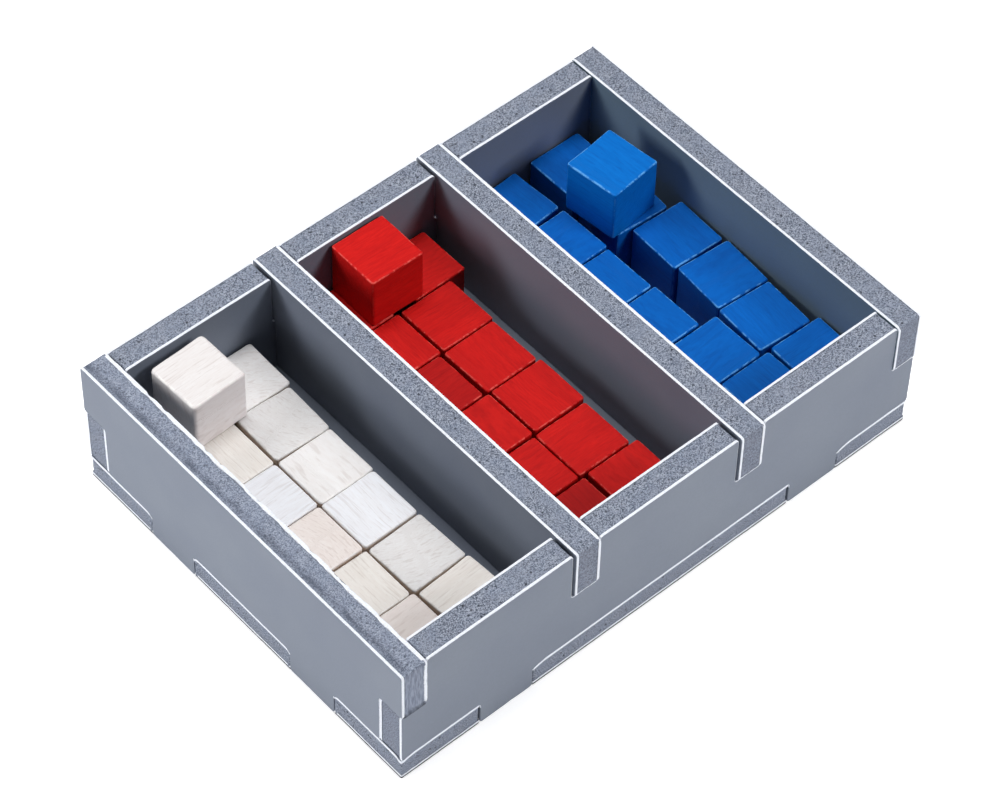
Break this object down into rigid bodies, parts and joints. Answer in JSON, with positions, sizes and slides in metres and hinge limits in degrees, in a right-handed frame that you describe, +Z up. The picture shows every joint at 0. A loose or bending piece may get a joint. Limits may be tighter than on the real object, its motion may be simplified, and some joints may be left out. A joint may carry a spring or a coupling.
{
  "type": "compartment tray",
  "caption": "Open foam-board tray for a board game box: a base, slotted side walls and dividers make compartments that hold loose wooden cubes.",
  "frame": {"origin": "middle of the underside of the base, on the surface that the tray stands on", "axes": "+X along the long walls towards the blue compartment, +Y from the front wall to the back wall, +Z up out of the tray"},
  "size_m": [0.1014, 0.0732, 0.0254],
  "materials": {
    "foam_core": "matte",
    "grey_paper": "matte",
    "bare_wood": "satin",
    "red_stained_wood": "satin",
    "blue_stained_wood": "satin"
  },
  "bodies": {
    "tray": {"base_core": "foam_core", "base_under_facing": "grey_paper", "base_upper_facing": "grey_paper", "front_wall_core": "foam_core", "front_wall_outer_facing": "grey_paper", "front_wall_inner_facing": "grey_paper", "back_wall_core": "foam_core", "back_wall_outer_facing": "grey_paper", "back_wall_inner_facing": "grey_paper", "left_end_wall_core": "foam_core", "left_end_wall_outer_facing": "grey_paper", "left_end_wall_inner_facing": "grey_paper", "right_end_wall_core": "foam_core", "right_end_wall_outer_facing": "grey_paper", "right_end_wall_inner_facing": "grey_paper", "left_divider_core": "foam_core", "left_divider_left_facing": "grey_paper", "left_divider_right_facing": "grey_paper", "right_divider_core": "foam_core", "right_divider_left_facing": "grey_paper", "right_divider_right_facing": "grey_paper"},
    "white_cube_left_1": {"white_cube_left_1": "bare_wood"},
    "white_cube_left_2": {"white_cube_left_2": "bare_wood"},
    "white_cube_left_3": {"white_cube_left_3": "bare_wood"},
    "white_cube_left_4": {"white_cube_left_4": "bare_wood"},
    "white_cube_left_5": {"white_cube_left_5": "bare_wood"},
    "white_cube_left_6": {"white_cube_left_6": "bare_wood"},
    "white_cube_right_1": {"white_cube_right_1": "bare_wood"},
    "white_cube_right_2": {"white_cube_right_2": "bare_wood"},
    "white_cube_right_3": {"white_cube_right_3": "bare_wood"},
    "white_cube_right_4": {"white_cube_right_4": "bare_wood"},
    "white_cube_right_5": {"white_cube_right_5": "bare_wood"},
    "white_cube_right_6": {"white_cube_right_6": "bare_wood"},
    "white_cube_top": {"white_cube_top": "bare_wood"},
    "red_cube_left_1": {"red_cube_left_1": "red_stained_wood"},
    "red_cube_left_2": {"red_cube_left_2": "red_stained_wood"},
    "red_cube_left_3": {"red_cube_left_3": "red_stained_wood"},
    "red_cube_left_4": {"red_cube_left_4": "red_stained_wood"},
    "red_cube_left_5": {"red_cube_left_5": "red_stained_wood"},
    "red_cube_left_6": {"red_cube_left_6": "red_stained_wood"},
    "red_cube_right_1": {"red_cube_right_1": "red_stained_wood"},
    "red_cube_right_2": {"red_cube_right_2": "red_stained_wood"},
    "red_cube_right_3": {"red_cube_right_3": "red_stained_wood"},
    "red_cube_right_4": {"red_cube_right_4": "red_stained_wood"},
    "red_cube_right_5": {"red_cube_right_5": "red_stained_wood"},
    "red_cube_right_6": {"red_cube_right_6": "red_stained_wood"},
    "red_cube_top": {"red_cube_top": "red_stained_wood"},
    "blue_cube_left_1": {"blue_cube_left_1": "blue_stained_wood"},
    "blue_cube_left_2": {"blue_cube_left_2": "blue_stained_wood"},
    "blue_cube_left_3": {"blue_cube_left_3": "blue_stained_wood"},
    "blue_cube_left_4": {"blue_cube_left_4": "blue_stained_wood"},
    "blue_cube_left_5": {"blue_cube_left_5": "blue_stained_wood"},
    "blue_cube_left_6": {"blue_cube_left_6": "blue_stained_wood"},
    "blue_cube_right_1": {"blue_cube_right_1": "blue_stained_wood"},
    "blue_cube_right_2": {"blue_cube_right_2": "blue_stained_wood"},
    "blue_cube_right_3": {"blue_cube_right_3": "blue_stained_wood"},
    "blue_cube_right_4": {"blue_cube_right_4": "blue_stained_wood"},
    "blue_cube_right_5": {"blue_cube_right_5": "blue_stained_wood"},
    "blue_cube_right_6": {"blue_cube_right_6": "blue_stained_wood"},
    "blue_cube_top": {"blue_cube_top": "blue_stained_wood"}
  },
  "joints": [
    {"name": "white_cube_top_lift", "type": "slide", "parent": "white_cube_right_2", "child": "white_cube_top", "axis": [0, 0, 1], "range_m": [0, 0.02]},
    {"name": "white_cube_right_2_lift", "type": "slide", "parent": "tray", "child": "white_cube_right_2", "axis": [0, 0, 1], "range_m": [0, 0.032]},
    {"name": "red_cube_top_lift", "type": "slide", "parent": "red_cube_left_1", "child": "red_cube_top", "axis": [0, 0, 1], "range_m": [0, 0.02]},
    {"name": "red_cube_left_1_lift", "type": "slide", "parent": "tray", "child": "red_cube_left_1", "axis": [0, 0, 1], "range_m": [0, 0.032]},
    {"name": "blue_cube_top_lift", "type": "slide", "parent": "blue_cube_right_2", "child": "blue_cube_top", "axis": [0, 0, 1], "range_m": [0, 0.02]},
    {"name": "blue_cube_right_2_lift", "type": "slide", "parent": "tray", "child": "blue_cube_right_2", "axis": [0, 0, 1], "range_m": [0, 0.032]},
    {"name": "white_cube_left_1_lift", "type": "slide", "parent": "tray", "child": "white_cube_left_1", "axis": [0, 0, 1], "range_m": [0, 0.032]},
    {"name": "white_cube_left_2_lift", "type": "slide", "parent": "tray", "child": "white_cube_left_2", "axis": [0, 0, 1], "range_m": [0, 0.032]},
    {"name": "white_cube_left_3_lift", "type": "slide", "parent": "tray", "child": "white_cube_left_3", "axis": [0, 0, 1], "range_m": [0, 0.032]},
    {"name": "white_cube_left_4_lift", "type": "slide", "parent": "tray", "child": "white_cube_left_4", "axis": [0, 0, 1], "range_m": [0, 0.032]},
    {"name": "white_cube_left_5_lift", "type": "slide", "parent": "tray", "child": "white_cube_left_5", "axis": [0, 0, 1], "range_m": [0, 0.032]},
    {"name": "white_cube_left_6_lift", "type": "slide", "parent": "tray", "child": "white_cube_left_6", "axis": [0, 0, 1], "range_m": [0, 0.032]},
    {"name": "white_cube_right_1_lift", "type": "slide", "parent": "tray", "child": "white_cube_right_1", "axis": [0, 0, 1], "range_m": [0, 0.032]},
    {"name": "white_cube_right_3_lift", "type": "slide", "parent": "tray", "child": "white_cube_right_3", "axis": [0, 0, 1], "range_m": [0, 0.032]},
    {"name": "white_cube_right_4_lift", "type": "slide", "parent": "tray", "child": "white_cube_right_4", "axis": [0, 0, 1], "range_m": [0, 0.032]},
    {"name": "white_cube_right_5_lift", "type": "slide", "parent": "tray", "child": "white_cube_right_5", "axis": [0, 0, 1], "range_m": [0, 0.032]},
    {"name": "white_cube_right_6_lift", "type": "slide", "parent": "tray", "child": "white_cube_right_6", "axis": [0, 0, 1], "range_m": [0, 0.032]},
    {"name": "red_cube_left_2_lift", "type": "slide", "parent": "tray", "child": "red_cube_left_2", "axis": [0, 0, 1], "range_m": [0, 0.032]},
    {"name": "red_cube_left_3_lift", "type": "slide", "parent": "tray", "child": "red_cube_left_3", "axis": [0, 0, 1], "range_m": [0, 0.032]},
    {"name": "red_cube_left_4_lift", "type": "slide", "parent": "tray", "child": "red_cube_left_4", "axis": [0, 0, 1], "range_m": [0, 0.032]},
    {"name": "red_cube_left_5_lift", "type": "slide", "parent": "tray", "child": "red_cube_left_5", "axis": [0, 0, 1], "range_m": [0, 0.032]},
    {"name": "red_cube_left_6_lift", "type": "slide", "parent": "tray", "child": "red_cube_left_6", "axis": [0, 0, 1], "range_m": [0, 0.032]},
    {"name": "red_cube_right_1_lift", "type": "slide", "parent": "tray", "child": "red_cube_right_1", "axis": [0, 0, 1], "range_m": [0, 0.032]},
    {"name": "red_cube_right_2_lift", "type": "slide", "parent": "tray", "child": "red_cube_right_2", "axis": [0, 0, 1], "range_m": [0, 0.032]},
    {"name": "red_cube_right_3_lift", "type": "slide", "parent": "tray", "child": "red_cube_right_3", "axis": [0, 0, 1], "range_m": [0, 0.032]},
    {"name": "red_cube_right_4_lift", "type": "slide", "parent": "tray", "child": "red_cube_right_4", "axis": [0, 0, 1], "range_m": [0, 0.032]},
    {"name": "red_cube_right_5_lift", "type": "slide", "parent": "tray", "child": "red_cube_right_5", "axis": [0, 0, 1], "range_m": [0, 0.032]},
    {"name": "red_cube_right_6_lift", "type": "slide", "parent": "tray", "child": "red_cube_right_6", "axis": [0, 0, 1], "range_m": [0, 0.032]},
    {"name": "blue_cube_left_1_lift", "type": "slide", "parent": "tray", "child": "blue_cube_left_1", "axis": [0, 0, 1], "range_m": [0, 0.032]},
    {"name": "blue_cube_left_2_lift", "type": "slide", "parent": "tray", "child": "blue_cube_left_2", "axis": [0, 0, 1], "range_m": [0, 0.032]},
    {"name": "blue_cube_left_3_lift", "type": "slide", "parent": "tray", "child": "blue_cube_left_3", "axis": [0, 0, 1], "range_m": [0, 0.032]},
    {"name": "blue_cube_left_4_lift", "type": "slide", "parent": "tray", "child": "blue_cube_left_4", "axis": [0, 0, 1], "range_m": [0, 0.032]},
    {"name": "blue_cube_left_5_lift", "type": "slide", "parent": "tray", "child": "blue_cube_left_5", "axis": [0, 0, 1], "range_m": [0, 0.032]},
    {"name": "blue_cube_left_6_lift", "type": "slide", "parent": "tray", "child": "blue_cube_left_6", "axis": [0, 0, 1], "range_m": [0, 0.032]},
    {"name": "blue_cube_right_1_lift", "type": "slide", "parent": "tray", "child": "blue_cube_right_1", "axis": [0, 0, 1], "range_m": [0, 0.032]},
    {"name": "blue_cube_right_3_lift", "type": "slide", "parent": "tray", "child": "blue_cube_right_3", "axis": [0, 0, 1], "range_m": [0, 0.032]},
    {"name": "blue_cube_right_4_lift", "type": "slide", "parent": "tray", "child": "blue_cube_right_4", "axis": [0, 0, 1], "range_m": [0, 0.032]},
    {"name": "blue_cube_right_5_lift", "type": "slide", "parent": "tray", "child": "blue_cube_right_5", "axis": [0, 0, 1], "range_m": [0, 0.032]},
    {"name": "blue_cube_right_6_lift", "type": "slide", "parent": "tray", "child": "blue_cube_right_6", "axis": [0, 0, 1], "range_m": [0, 0.032]}
  ],
  "couplings": [
    {"joint": "white_cube_left_1_lift", "follows": "white_cube_right_2_lift", "ratio": 1},
    {"joint": "white_cube_right_1_lift", "follows": "white_cube_right_2_lift", "ratio": 1},
    {"joint": "white_cube_left_2_lift", "follows": "white_cube_right_2_lift", "ratio": 1},
    {"joint": "red_cube_right_1_lift", "follows": "red_cube_left_1_lift", "ratio": 1},
    {"joint": "blue_cube_right_1_lift", "follows": "blue_cube_right_2_lift", "ratio": 1}
  ]
}
